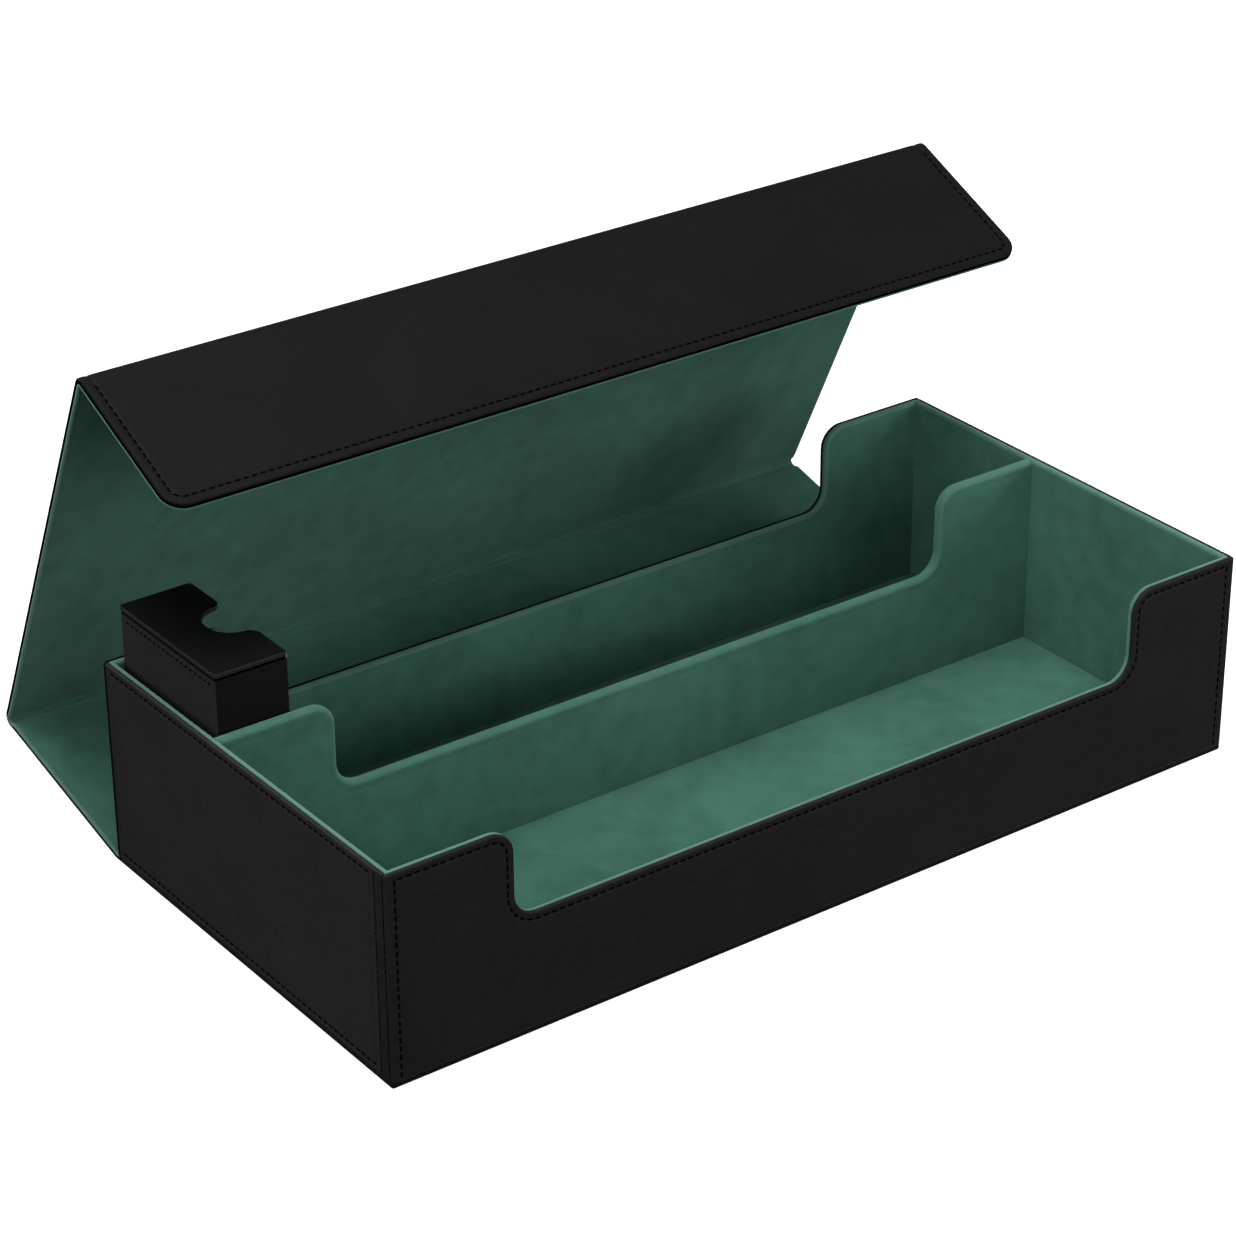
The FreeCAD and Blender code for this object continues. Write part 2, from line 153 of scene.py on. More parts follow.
def leather_material(name, level):
    """Matt black coated leather with a fine pebbled grain and faint patches of polish."""
    made, tree, shader, spot = material(name, (level, level, level), 0.58, 0.06)
    dark = (0.86 * level, 0.84 * level, 0.86 * level)
    light = (1.15 * level, 1.13 * level, 1.14 * level)
    tree.links.new(mottled(tree, spot, (dark, light), (22, 420)), shader.inputs["Base Color"])
    vary_roughness(tree, shader, scaled_noise(tree, spot, 60, 5), 0.46, 0.66)
    grain = node(tree, "ShaderNodeTexVoronoi", [(spot, "Vector")], Scale=1500)
    pores = bump(tree, grain.outputs["Distance"], 0.00005, 0.55)
    creases = bump(tree, scaled_noise(tree, spot, 700, 4), 0.00006, 0.4, pores)
    waves = bump(tree, scaled_noise(tree, spot, 28, 2), 0.0006, 0.35, creases)
    tree.links.new(waves, shader.inputs["Normal"])
    return made


def fabric_material(name, dark, light, sheen):
    """Green microfibre: a short nap with soft brushed patches and a light sheen at grazing angles."""
    made, tree, shader, spot = material(name, light, 0.92, 0.1)
    shader.inputs["Sheen Weight"].default_value = sheen
    shader.inputs["Sheen Roughness"].default_value = 0.5
    shader.inputs["Sheen Tint"].default_value = (0.62, 0.9, 0.8, 1)
    tree.links.new(mottled(tree, spot, (dark, light), (17, 95), 6), shader.inputs["Base Color"])
    nap = bump(tree, scaled_noise(tree, spot, 2400, 2), 0.00018, 0.35)
    tufts = bump(tree, scaled_noise(tree, spot, 480, 4), 0.00025, 0.32, nap)
    waves = bump(tree, scaled_noise(tree, spot, 24, 2), 0.0008, 0.3, tufts)
    tree.links.new(waves, shader.inputs["Normal"])
    return made


def thread_material():
    """Twisted black sewing thread."""
    made, tree, shader, spot = material("black_thread", (0.0012, 0.0012, 0.0012), 0.8, 0.0)
    twist = node(tree, "ShaderNodeTexWave", [(spot, "Vector")], Scale=900, Distortion=2)
    tree.links.new(bump(tree, twist.outputs["Fac"], 0.00008, 0.5), shader.inputs["Normal"])
    return made


def board_material():
    """Grey pulp board with flecks."""
    made, tree, shader, spot = material("greyboard", (0.3, 0.28, 0.25), 0.9, 0.2)
    colour = mottled(tree, spot, ((0.21, 0.19, 0.17), (0.36, 0.34, 0.31)), (90, 900))
    tree.links.new(colour, shader.inputs["Base Color"])
    tree.links.new(bump(tree, scaled_noise(tree, spot, 1200), 0.0001, 0.4), shader.inputs["Normal"])
    return made


def magnet_material():
    """Nickel plate with fine scuffs."""
    made, tree, shader, spot = material("magnet_plating", (0.62, 0.6, 0.57), 0.3, 0.5)
    shader.inputs["Metallic"].default_value = 1
    vary_roughness(tree, shader, scaled_noise(tree, spot, 800), 0.2, 0.42)
    return made


# The same black leather in five copies whose brightness is painted light and shade: the end walls and the
# case's walls lighter as painted light, the cover, the back wall and the case's lid darker as painted shade,
# the front wall between.
front_leather_painted_light = leather_material("long_wall_leather_painted_light", 0.0150)
end_leather_painted_light = leather_material("end_wall_leather_painted_light", 0.0200)
cover_leather_painted_shade = leather_material("cover_leather", 0.0056)
case_leather_painted_light = leather_material("case_leather", 0.0185)
case_leather_painted_shade = leather_material("case_lid_leather_painted_shade", 0.0046)
fabric = fabric_material("green_microfibre", (0.034, 0.107, 0.078), (0.053, 0.157, 0.116), 0.22)
# A lighter, greyer copy of the microfibre for the rolled edges: a painted highlight on top of the real
# sheen.
rolled_cloth_painted_highlight = fabric_material(
    "green_microfibre_rolled_painted_highlight", (0.058, 0.144, 0.112), (0.076, 0.174, 0.138), 0.4
)
# A lighter copy of the microfibre for the divider's rim, as a painted highlight.
divider_rim_painted_highlight = fabric_material(
    "green_microfibre_divider_rim_painted_highlight", (0.044, 0.126, 0.094), (0.060, 0.160, 0.122), 0.3
)
thread = thread_material()
board = board_material()
plating = magnet_material()


# ---------------------------------------------------------------- mesh kit

ARC_STEPS = 10
SMALLEST_RADIUS = 0.05
PARALLEL = 1e-9
# Edges that turn by more than this many degrees are drawn sharp.
SHARP_FROM = 38

STITCH_SIDES = 6
STITCH_RISE = 0.26
# Sections of a stitch: distance from its middle as a share of its length, size as a share of its
# width, and height over the line that it is sewn on.
STITCH_SECTIONS = (
    (-0.5, 0.5, -0.3),
    (-0.34, 0.9, -0.04),
    (0, 1, 0.02),
    (0.34, 0.9, -0.04),
    (0.5, 0.5, -0.3),
)


class Place:
    """A flat working frame: u and v lie in a panel, and w is its outward normal."""

    def __init__(self, origin, u, v):
        self.origin = Vector(origin)
        self.u = Vector(u)
        self.v = Vector(v)
        self.w = self.u.cross(self.v)

    def at(self, u, v, w):
        """The point at these distances along the frame's axes."""
        return self.origin + self.u * u + self.v * v + self.w * w


def line_hit(p, d, q, e):
    """Where the line through p along d meets the line through q along e."""
    cross = d.x * e.y - d.y * e.x
    if abs(cross) < PARALLEL:
        return q.copy()
    return p + d * (((q.x - p.x) * e.y - (q.y - p.y) * e.x) / cross)


def ring(outline, inset, weights=None):
    """The outline drawn in by inset, as one list of points for each corner.

    outline is (u, v, radius) corners, counter-clockwise. A weight scales one side's inset.
    """
    count = len(outline)
    weights = weights or [1] * count
    spots = [Vector(corner[:2]) for corner in outline]
    ways = [(spots[(i + 1) % count] - spots[i]).normalized() for i in range(count)]
    inward = [Vector((-way.y, way.x)) for way in ways]
    starts = [spots[i] + inward[i] * inset * weights[i] for i in range(count)]
    corners = []
    for i, (_, _, radius) in enumerate(outline):
        way, side = ways[i - 1], inward[i - 1]
        apex = line_hit(starts[i - 1], way, starts[i], ways[i])
        if not radius:
            corners.append([apex])
            continue
        turn = math.atan2(way.x * ways[i].y - way.y * ways[i].x, way.dot(ways[i]))
        convex = turn > 0
        size = max(radius - inset if convex else radius + inset, SMALLEST_RADIUS)
        start = apex - way * size * math.tan(abs(turn) / 2)
        centre = start + side * (size if convex else -size)
        arm = start - centre
        corners.append(
            [centre + Matrix.Rotation(turn * k / ARC_STEPS, 2) @ arm for k in range(ARC_STEPS + 1)]
        )
    return corners


def run(corners, first, last):
    """The points of a ring from its side number first to its side number last."""
    count = len(corners)
    points = [corners[first][-1]]
    for i in range(first + 1, last + 1):
        points += corners[i % count]
    points.append(corners[(last + 1) % count][0])
    return points


class Shell:
    """Collects the faces of one piece, in millimetres."""

    def __init__(self):
        self.mesh = bmesh.new()

    def point(self, spot):
        """A new corner, from millimetres."""
        return self.mesh.verts.new(spot * MM)

    def face(self, points, kind=0):
        """A new smooth face that takes the piece's material number kind."""
        made = self.mesh.faces.new(points)
        made.material_index = kind
        made.smooth = True

    def slab(self, place, outline, profile, weights=None, fixed=(), rim=(0, 0)):
        """A closed panel: its outline at each (inset, height) of the profile, joined and capped.

        weights scale each side's inset, fixed sides are cut square and closed with one face, and
        bands of the profile from rim[0] up to rim[1] take the second material.
        """
        rings = []
        for inset, height in profile:
            corners = ring(outline, inset, weights)
            rings.append([[self.point(place.at(p.x, p.y, height)) for p in spots] for spots in corners])
        count = len(outline)
        for corners in (rings[0], rings[-1]):
            self.face([point for spots in corners for point in spots])
        for band, (low, high) in enumerate(zip(rings, rings[1:])):
            kind = 1 if rim[0] <= band < rim[1] else 0
            for i in range(count):
                for j in range(len(low[i]) - 1):
                    self.face((low[i][j], low[i][j + 1], high[i][j + 1], high[i][j]), kind)
                if i not in fixed:
                    n = (i + 1) % count
                    self.face((low[i][-1], low[n][0], high[n][0], high[i][-1]), kind)
        for i in fixed:
            n = (i + 1) % count
            self.face([corners[n][0] for corners in rings] + [corners[i][-1] for corners in reversed(rings)])

    def sweep(self, loops, rim):
        """A closed piece through cross-sections that have the same number of points.

        The first and last rim bands round each cross-section take the second material.
        """
        rows = [[self.point(spot) for spot in loop] for loop in loops]
        for near, far in zip(rows, rows[1:]):
            count = len(near)
            for j in range(count):
                kind = 1 if j and (j <= rim or j >= count - rim) else 0
                self.face((near[j - 1], near[j], far[j], far[j - 1]), kind)
        self.face(rows[0])
        self.face(rows[-1])

    def stitches(self, place, path, height, pitch=4.0, length=3.0, width=0.46):
        """Sewn stitches spaced evenly along a path of (u, v) points."""
        spans = [(b - a).length for a, b in zip(path, path[1:])]
        total = sum(spans)
        count = max(1, round(total / pitch))
        for k in range(count):
            left = total * (k + 0.5) / count
            i = 0
            while i < len(spans) - 1 and left > spans[i]:
                left -= spans[i]
                i += 1
            way = (path[i + 1] - path[i]).normalized()
            self.stitch(place, path[i] + way * left, way, height, length, width)

    def stitch(self, place, middle, way, height, length, width):
        """One stitch, whose ends sink into the leather."""
        across = Vector((-way.y, way.x))
        rows = []
        for along, size, lift in STITCH_SECTIONS:
            row = []
            for j in range(STITCH_SIDES):
                turn = 2 * math.pi * j / STITCH_SIDES
                spot = middle + way * along * length + across * math.cos(turn) * width * size
                rise = lift + math.sin(turn) * STITCH_RISE * size
                row.append(self.point(place.at(spot.x, spot.y, height + rise)))
            rows.append(row)
        for near, far in zip(rows, rows[1:]):
            for j in range(STITCH_SIDES):
                self.face((near[j - 1], near[j], far[j], far[j - 1]), 1)
        self.face(rows[0], 1)
        self.face(rows[-1], 1)

    def piece(self, name, materials, nodes):
        """The finished object, which stands for these CAD nodes."""
        bmesh.ops.recalc_face_normals(self.mesh, faces=self.mesh.faces)
        data = bpy.data.meshes.new(name)
        self.mesh.to_mesh(data)
        self.mesh.free()
        data.set_sharp_from_angle(angle=math.radians(SHARP_FROM))
        for one in materials:
            data.materials.append(one)
        made = bpy.data.objects.new(name, data)
        bpy.context.scene.collection.objects.link(made)
        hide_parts(*nodes)
        return made


def rounding(inset, height, radius, start, end, steps):
    """Points of a rounded edge whose centre is at (inset, height), from one angle to another."""
    points = []
    for k in range(steps + 1):
        turn = math.radians(start + (end - start) * k / steps)
        points.append((inset - radius * math.cos(turn), height + radius * math.sin(turn)))
    return points


# Distance of the sewn line from a panel's edge.
TRAY_SEAM = 3.4
COVER_SEAM = 4.6

# The channel that stitches lie in: distance from its middle, and share of its depth.
GROOVE_DEPTH = 0.26
GROOVE = ((-1.3, 0), (-0.75, 0.45), (-0.25, 1), (0.25, 1), (0.75, 0.45), (1.3, 0))


def leather_profile(low, high, seam, edge, back):
    """Section of a leather panel: rolled edge, then a channel sunk for the stitches."""
    points = rounding(back, low + back, back, -90, 0, 3)
    points += rounding(edge, high - edge, edge, 0, 90, 6)
    points += [(seam + offset, high - GROOVE_DEPTH * share) for offset, share in GROOVE]
    points += [(seam + offset, high) for offset in (2.4, 3.4)]
    return points


# Bands of a lining's profile, from its back, that its rolled edge takes up; they take the lighter cloth of
# the painted highlight.
ROLL = 11
CLOTH_BACK = 0.2
# How the rolled bead falls to the flat cloth: distance past it, and share of its height left.
BEAD_FALL = ((0.6, 0.85), (1.3, 0.3), (1.9, 0), (2.6, 0), (3.6, 0))


def lining_profile(low, high, edge, raised=0.0):
    """Section of a lining: a rolled bead along its edge that may stand above the flat of the cloth."""
    points = rounding(CLOTH_BACK, low + CLOTH_BACK, CLOTH_BACK, -90, 0, 2)
    points += rounding(edge, high + raised - edge, edge, 0, 90, 7)
    points += [(edge + offset, high + raised * share) for offset, share in BEAD_FALL]
    return points


# ---------------------------------------------------------------- tray walls

# The rows' linings stop a little below the leather's rim.
LINING_DROP = 0.15
wall_low, wall_high = low_high("front_wall_leather")
HALF_X = wall_high.x
HALF_Y = -wall_low.y
RIM = wall_high.z
FOOT = wall_low.z
INNER_X = low_high("right_end_lining")[0].x
INNER_Y = -low_high("front_wall_lining")[1].y
LINING_TOP = RIM - LINING_DROP
LINING_FOOT = low_high("front_wall_lining")[0].z
DIP_HALF = 164.7
DIP_FLOOR = 56.3
DIP_RADIUS = 11
CORNER_RADIUS = 1.2
LEATHER_DEPTH = 1.85
WALL_EDGE = 0.95
WALL_BACK = 0.7
CLEARANCE = 0.05
# The front leather turns this far on to the end walls.
TURN_WIDTH = 5.8
TURN_EDGE = 0.7
# How far below the leather's face the stitches' middle lies, on its faces and at its corners.
STITCH_SINK = 0.16
CORNER_SINK = 0.27
CORNER_STITCH = {"pitch": 2.9, "length": 2.9, "width": 0.62}
# How far the corner seams keep from the foot and the rim.
CORNER_FOOT = 1
CORNER_TOP = 1.5


def dipped(half, foot, top, spread=0.0, corner=CORNER_RADIUS):
    """Outline of a wall with a lowered middle; spread widens and deepens the dip."""
    dip, floor = DIP_HALF + spread, DIP_FLOOR - spread
    return [
        (-half, foot, corner),
        (half, foot, corner),
        (half, top, corner),
        (dip, top, DIP_RADIUS - spread),
        (dip, floor, DIP_RADIUS + spread),
        (-dip, floor, DIP_RADIUS + spread),
        (-dip, top, DIP_RADIUS - spread),
        (-half, top, corner),
    ]


def rectangle(near, far, foot, top, corner=CORNER_RADIUS):
    """A rectangle's outline, with the same radius at each corner."""
    return [(near, foot, corner), (far, foot, corner), (far, top, corner), (near, top, corner)]


def corner_seams(shell, side):
    """The sewn seams where a long wall meets the two ends; the front leather turns on to the ends."""
    start = HALF_Y - LEATHER_DEPTH - CLEARANCE
    for end in (-1, 1):
        place = Place(X * end * (HALF_X - LEATHER_DEPTH), Y * end, Z)
        seams = [start]
        if side < 0:
            seams.append(start - TURN_WIDTH)
            near, far = sorted(side * end * along for along in seams)
            profile = rounding(0.05, 0.2, 0.05, -90, 0, 1)
            profile += rounding(TURN_EDGE, LEATHER_DEPTH - TURN_EDGE, TURN_EDGE, 0, 85, 5)
            shell.slab(place, rectangle(near, far, FOOT, RIM - 0.1, 0.3), profile)
        for along in seams:
            u = side * end * along
            path = [Vector((u, FOOT + CORNER_FOOT)), Vector((u, RIM - CORNER_TOP))]
            shell.stitches(place, path, LEATHER_DEPTH - CORNER_SINK, **CORNER_STITCH)


def wall_cloth(name, place, outline, depth):
    """The lining of one tray wall: rolled along its rim and ends, and nearly square at the floor."""
    weights = [0.1] + [1] * (len(outline) - 1)
    shell = Shell()
    shell.slab(place, outline, lining_profile(0, depth, depth / 2 - 0.02), weights, rim=(0, ROLL))
    made = shell.piece(name + "_cloth", (fabric, rolled_cloth_painted_highlight), (name + "_lining",))
    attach(made, "box")


def long_wall(name, side):
    """A long wall's leather and lining; side is -1 at the front and 1 at the back."""
    outward = Y * side
    place = Place(outward * (HALF_Y - LEATHER_DEPTH), X * -side, Z)
    outline = dipped(HALF_X, FOOT, RIM)
    # The sewn line runs nearer to the foot, and further from the ends, than it does from the rim.
    weights = [0.3, 1.35, 1, 1, 1, 1, 1, 1.35]
    shell = Shell()
    profile = leather_profile(0, LEATHER_DEPTH, TRAY_SEAM, WALL_EDGE, WALL_BACK)
    shell.slab(place, outline, profile, weights)
    seam = ring(outline, TRAY_SEAM, weights)
    shell.stitches(place, run(seam, 1, 7), LEATHER_DEPTH - STITCH_SINK)
    corner_seams(shell, side)
    # The back wall takes the cover's darker copy of the leather, as painted shade.
    skin = front_leather_painted_light if side < 0 else cover_leather_painted_shade
    made = shell.piece(name + "_leather_wrap", (skin, thread), (name + "_leather",))
    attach(made, "box")

    depth = HALF_Y - LEATHER_DEPTH - CLEARANCE - INNER_Y
    place = Place(outward * (INNER_Y + depth), X * side, Z)
    outline = dipped(HALF_X - LEATHER_DEPTH - CLEARANCE, LINING_FOOT, LINING_TOP, 0.3)
    wall_cloth(name, place, outline, depth)


def end_wall(name, side):
    """An end wall's leather and lining; side is -1 at the left and 1 at the right."""
    rear = HALF_Y - LEATHER_DEPTH - CLEARANCE
    front = rear - TURN_WIDTH
    place = Place(X * side * (HALF_X - LEATHER_DEPTH), Y * side, Z)
    near, far = (-front, rear) if side > 0 else (-rear, front)
    outline = rectangle(near, far, FOOT, RIM)
    shell = Shell()
    shell.slab(place, outline, leather_profile(0, LEATHER_DEPTH, TRAY_SEAM, WALL_EDGE, WALL_BACK))
    seam = ring(outline, TRAY_SEAM)
    for edge in (0, 2):
        shell.stitches(place, run(seam, edge, edge), LEATHER_DEPTH - STITCH_SINK)
    made = shell.piece(name + "_leather_wrap", (end_leather_painted_light, thread), (name + "_leather",))
    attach(made, "box")

    depth = HALF_X - LEATHER_DEPTH - CLEARANCE - INNER_X
    place = Place(X * side * (INNER_X + depth), Y * -side, Z)
    wall_cloth(name, place, rectangle(-rear, rear, LINING_FOOT, LINING_TOP), depth)


long_wall("front_wall", -1)
long_wall("back_wall", 1)
end_wall("left_end", -1)
end_wall("right_end", 1)


# ---------------------------------------------------------------- divider and floors

# The shallow crease beside the divider's rim: distance past the rim's curve, and depth.
RIM_CREASE = ((1.6, 0), (2.4, 0.12), (3.2, 0), (4.5, 0))


def divider():
    """The divider between the rows: cloth folded over the board with a full round rim."""
    low, high = low_high("divider_lining")
    depth = high.y - low.y
    place = Place(Y * high.y, X, Z)
    edge = depth / 2 - 0.25
    profile = [(edge + offset, sunk) for offset, sunk in reversed(RIM_CREASE)]
    profile += rounding(edge, edge, edge, -90, 0, 8)
    profile += rounding(edge, depth - edge, edge, 0, 90, 8)
    profile += [(edge + offset, depth - sunk) for offset, sunk in RIM_CREASE]
    outline = dipped(high.x, low.z, high.z, 0, 0.2)
    # The rim's bands take the lighter cloth of the painted highlight.
    rim = (len(RIM_CREASE), len(profile) - len(RIM_CREASE) - 2)
    # The cloth is nearly square at the floor and the ends, where it meets the other linings.
    weights = [0.02, 0.02, 1, 1, 1, 1, 1, 0.02]
    shell = Shell()
    shell.slab(place, outline, profile, weights, rim=rim)
    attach(shell.piece("divider_cloth", (fabric, divider_rim_painted_highlight), ("divider_lining",)), "box")


# The floor cloth's edge: inset, and height as a share of its thickness.
FLOOR_EDGE = ((0, 0), (0, 0.5), (0.15, 0.85), (0.5, 1), (2.0, 1), (3.0, 1))


def floor_cloth(name):
    """The cloth on one row's floor, soft at its edges."""
    low, high = low_high(name)
    place = Place(Z * low.z, X, Y)
    profile = [(inset, (high.z - low.z) * share) for inset, share in FLOOR_EDGE]
    shell = Shell()
    shell.slab(place, rectangle(low.x, high.x, low.y, high.y, 0.5), profile)
    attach(shell.piece(name.replace("_lining", "_cloth"), (fabric,), (name,)), "box")


divider()
floor_cloth("front_row_floor_lining")
floor_cloth("rear_row_floor_lining")


# ---------------------------------------------------------------- cover

# Heights over the middle of a panel's thickness: its faces, and the leather's turned-in back.
PANEL_HALF = 1.8
LEATHER_BACK = -1.0
LINING_BACK = 0.7
LINING_INSET = -0.1
# Bands of the leather's profile, from its back, that take the near-black thread material along the panel's
# edge.
DARK_EDGE_BANDS = 5
FLAP_RADIUS = 10
BASE_DEPTH = low_high("cover_base_leather")[1].z

# Each fold's hinge line, as (y, z), and the way that each panel runs at rest, in degrees from +Y.
HINGE_JOINTS = {"base": "back_hinge", "top": "top_hinge", "flap": "flap_hinge"}
JOINT_PLACES = {joint["name"]: joint.get("pos_m") for joint in frame["joints"]}
HINGES = {bend: [at / MM for at in JOINT_PLACES[joint][1:]] for bend, joint in HINGE_JOINTS.items()}
TURNS = {"base": 0.0, "back": 14.7, "top": 115.4, "flap": 204.5}

# Where the panels end and their folds begin, as distances from the hinges.
BASE_START = 3.1
BACK_START = 4.5
TOP_GAP = 7.6
FLAP_GAP = 6.0
SPAN_BACK = 98.4
SPAN_TOP = 221.4
FLAP_END = 78.0

# The folds' outer radii.
BASE_BEND = 12.0
TOP_BEND = 4.6
FLAP_BEND = 4.3

# The top fold's thinning along its middle, and how far it takes from each side.
CHANNEL_DEPTH = 0.36
CHANNEL_REAR = 3.6
CHANNEL_FRONT = 8.2


def direction(turn):
    """The way a cover panel runs away from its hinge."""
    return Vector((0, math.cos(math.radians(turn)), math.sin(math.radians(turn))))


def normal(turn):
    """The lining side of a cover panel."""
    return Vector((0, -math.sin(math.radians(turn)), math.cos(math.radians(turn))))


cover_leather = leather_profile(LEATHER_BACK, PANEL_HALF, COVER_SEAM, edge=1.1, back=0.4)
cover_lining = lining_profile(LINING_BACK, PANEL_HALF, edge=0.65, raised=0.22)


def panel(body, turn, hinge, start, end, free=False):
    """One cover panel's leather and lining between two distances from its hinge.

    A free panel has an open end with rounded corners; the others run into folds at both ends.
    """
    origin = Vector((0, *HINGES[hinge]))
    fixed = (0,) if free else (0, 2)
    weights = [0, 1, 1 if free else 0, 1]
    radius = FLAP_RADIUS if free else 0
    place = Place(origin, -X, direction(turn))
    outline = [(-HALF_X, start, 0), (HALF_X, start, 0), (HALF_X, end, radius), (-HALF_X, end, radius)]
    shell = Shell()
    shell.slab(place, outline, cover_leather, weights, fixed, rim=(0, DARK_EDGE_BANDS))
    seam = ring(outline, COVER_SEAM, weights)
    for first, last in [(1, 3)] if free else [(1, 1), (3, 3)]:
        shell.stitches(place, run(seam, first, last), PANEL_HALF - STITCH_SINK)
    made = shell.piece(body + "_leather_wrap", (cover_leather_painted_shade, thread), (body + "_leather",))
    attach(made, body)

    place = Place(origin, X, direction(turn))
    half = HALF_X - LINING_INSET
    reach = end - LINING_INSET if free else end
    radius = FLAP_RADIUS - LINING_INSET if free else 0
    outline = [(-half, start, 0), (half, start, 0), (half, reach, radius), (-half, reach, radius)]
    shell = Shell()
    shell.slab(place, outline, cover_lining, weights, fixed, rim=(0, ROLL))
    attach(shell.piece(body + "_cloth", (fabric, rolled_cloth_painted_highlight), (body + "_lining",)), body)


def fold_stations(hinge, before, after, near, far, radius, steps, runs=1):
    """Outer points and inner normals of a rounded fold, from near before its hinge to far after it.

    The fold has steps along its arc, and runs along each of the straight stretches beside it.
    """
    corner = Vector((0, *HINGES[hinge]))
    half = math.radians(after - before) / 2
    way_in, way_out = direction(before), direction(after)
    corner -= (normal(before) + normal(after)) * PANEL_HALF / (1 + normal(before).dot(normal(after)))
    extra = PANEL_HALF * math.tan(half)
    tangent = radius * math.tan(half)
    centre = corner - way_in * tangent + normal(before) * radius
    straight_in, straight_out = near + extra - tangent, far + extra - tangent
    stations = []
    for k in range(runs):
        stations.append((corner - way_in * (tangent + straight_in * (runs - k) / runs), normal(before)))
    for k in range(steps + 1):
        inner = normal(before + (after - before) * k / steps)
        stations.append((centre - inner * radius, inner))
    for k in range(runs):
        stations.append((corner + way_out * (tangent + straight_out * (k + 1) / runs), normal(after)))
    return stations


def channel(stations, depth, reach_in, reach_out):
    """How thick a fold is at each station: full at its ends, and less by depth past a reach from each."""
    spots = [outer for outer, _ in stations]
    walked = [0.0]
    for near, far in zip(spots, spots[1:]):
        walked.append(walked[-1] + (far - near).length)
    thickness = []
    for distance in walked:
        share = min(1.0, distance / reach_in, (walked[-1] - distance) / reach_out)
        thickness.append(1 - depth * share * share * (3 - 2 * share))
    return thickness


def section(station, profile, half, sign, squeeze):
    """A cover cross-section's points: sign is -1 for the leather and 1 for the lining."""
    outer, inner = station
    points = []
    for side in (-1, 1):
        row = []
        for inset, height in profile:
            rise = (sign * height + PANEL_HALF) * squeeze
            row.append(outer + X * side * (half - inset) + inner * rise)
        points += row if side < 0 else row[::-1]
    return points


def strip(name, finish, nodes, stations, squeezes):
    """One curved strip of the cover at a fold, of leather or of lining, between two panels."""
    if finish == LEATHER:
        profile, half, sign, rim = cover_leather, HALF_X, -1, DARK_EDGE_BANDS
        skins = cover_leather_painted_shade, thread
    else:
        profile, half, sign, rim = cover_lining, HALF_X - LINING_INSET, 1, ROLL
        skins = fabric, rolled_cloth_painted_highlight
    shell = Shell()
    loops = [section(s, profile, half, sign, q) for s, q in zip(stations, squeezes)]
    shell.sweep(loops, rim)
    made = shell.piece(name, skins, nodes)
    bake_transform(made)


def fold(name, nodes, stations, squeezes=None):
    """A fold's leather and lining strips; squeezes scale its thickness at each station."""
    squeezes = squeezes or [1.0] * len(stations)
    strip(name + "_leather", LEATHER, nodes, stations, squeezes)
    strip(name + "_cloth", FABRIC, nodes, stations, squeezes)


def top_fold():
    """The fold between the back and top panels, in two halves that meet at the middle of its arc."""
    nodes = ("top_fold_strip",)
    turns = TURNS["back"], TURNS["top"]
    stations = fold_stations("top", *turns, TOP_GAP, TOP_GAP, TOP_BEND, steps=16, runs=5)
    sunk = channel(stations, CHANNEL_DEPTH, CHANNEL_REAR, CHANNEL_FRONT)
    middle = len(stations) // 2
    rear = slice(0, middle + 1)
    front = slice(middle, None)
    fold("top_fold_rear", nodes, stations[rear], sunk[rear])
    fold("top_fold_front", nodes, stations[front], sunk[front])


def flap_fold():
    """The fold between the top panel and the flap."""
    turns = TURNS["top"], TURNS["flap"]
    stations = fold_stations("flap", *turns, FLAP_GAP, FLAP_GAP, FLAP_BEND, steps=14)
    fold("flap_fold", ("flap_fold_strip",), stations)


# The base plate's thickness as a share of the other panels'.
THIN = BASE_DEPTH / (PANEL_HALF - LEATHER_BACK)


def base_hinge():
    """The fold behind the tray, which thickens from the base plate to the back panel."""
    turns = TURNS["base"], TURNS["back"]
    stations = fold_stations("base", *turns, BASE_START, BACK_START, BASE_BEND, steps=8)
    steps = len(stations) - 2
    growing = [THIN + (1 - THIN) * k / steps for k in range(steps)]
    fold("base_hinge", ("base_hinge_strip",), stations, [THIN, *growing, 1.0])


def base_plate():
    """The cover's base under the tray, cut square where the base hinge begins."""
    rear = HINGES["base"][0] - BASE_START
    place = Place(Z * BASE_DEPTH, -X, Y)
    front = -HALF_Y
    outline = [(-HALF_X, front, CORNER_RADIUS), (HALF_X, front, CORNER_RADIUS)]
    outline += [(HALF_X, rear, 0), (-HALF_X, rear, 0)]
    profile = [(inset, (height - LEATHER_BACK) * THIN) for inset, height in cover_leather]
    shell = Shell()
    shell.slab(place, outline, profile, [1, 1, 0, 1], fixed=(2,))
    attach(shell.piece("cover_base_leather_wrap", (cover_leather_painted_shade,), ("cover_base_leather",)), "box")


panel("cover_back", TURNS["back"], "base", BACK_START, SPAN_BACK - TOP_GAP)
panel("cover_top", TURNS["top"], "top", TOP_GAP, SPAN_TOP - FLAP_GAP)
panel("cover_flap", TURNS["flap"], "flap", FLAP_GAP, FLAP_END, True)
top_fold()
flap_fold()
base_hinge()
base_plate()


# ---------------------------------------------------------------- card case

CASE_WALL = 1.8
CASE_LINING = 0.4
CASE_LOW, CASE_HIGH = low_high("case_wrap_leather")
CASE_INNER = CASE_LOW.x + CASE_WALL
CASE_SHELF = CASE_LOW.z + CASE_WALL
PLATE_FOOT = low_high("case_top_lining")[1].z - 0.25
PLATE_TOP = low_high("case_top_leather")[1].z
# How far the lid plate stands out past the walls.
PLATE_PROUD = 0.45
# Radii of the walls' corners: at the closed side, at the open side's edges, and inside.
CASE_CORNER = 0.8
CASE_LIP = 0.7
CASE_INSIDE = 0.4
